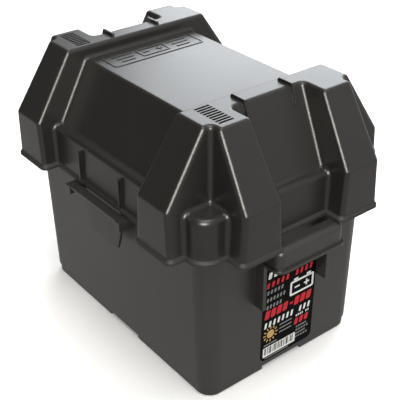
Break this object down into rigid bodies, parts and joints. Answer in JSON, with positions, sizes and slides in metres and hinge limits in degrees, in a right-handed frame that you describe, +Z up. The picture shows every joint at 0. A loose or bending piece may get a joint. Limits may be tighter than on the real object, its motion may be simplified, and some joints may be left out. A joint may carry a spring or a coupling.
{
  "type": "battery box",
  "caption": "Snap-top plastic battery box: a deep vented lid of sloped blocks over a drafted tub with strap handles, latch shelves and flexible side snap tongues.",
  "frame": {"origin": "on the resting plane under the middle of the box", "axes": "+Z up, +X along the long side towards the labelled end, -Y towards the long side whose ridges carry the vent slots"},
  "size_m": [0.2792, 0.202, 0.2231],
  "materials": {
    "tub_plastic": "moulded polypropylene, fine texture",
    "lid_plastic": "moulded polypropylene, fine texture, light sheen",
    "label_print": "printed vinyl, semi-gloss"
  },
  "bodies": {
    "base": {"base_tub": "tub_plastic", "label": "label_print"},
    "lid": {"lid_cover": "lid_plastic"},
    "tongue_front": {"snap_tongue_front": "lid_plastic"},
    "tongue_rear": {"snap_tongue_rear": "lid_plastic"}
  },
  "joints": [
    {"name": "lid_lift", "type": "slide", "parent": "base", "child": "lid", "axis": [0, 0, 1], "range_m": [0, 0.08]},
    {"name": "tongue_front_flex", "type": "hinge", "parent": "lid", "child": "tongue_front", "pos_m": [0, -0.0855, 0.12875], "axis": [1, 0, 0], "range_deg": [0, 5]},
    {"name": "tongue_rear_flex", "type": "hinge", "parent": "lid", "child": "tongue_rear", "pos_m": [0, 0.0855, 0.12875], "axis": [-1, 0, 0], "range_deg": [0, 5]}
  ]
}
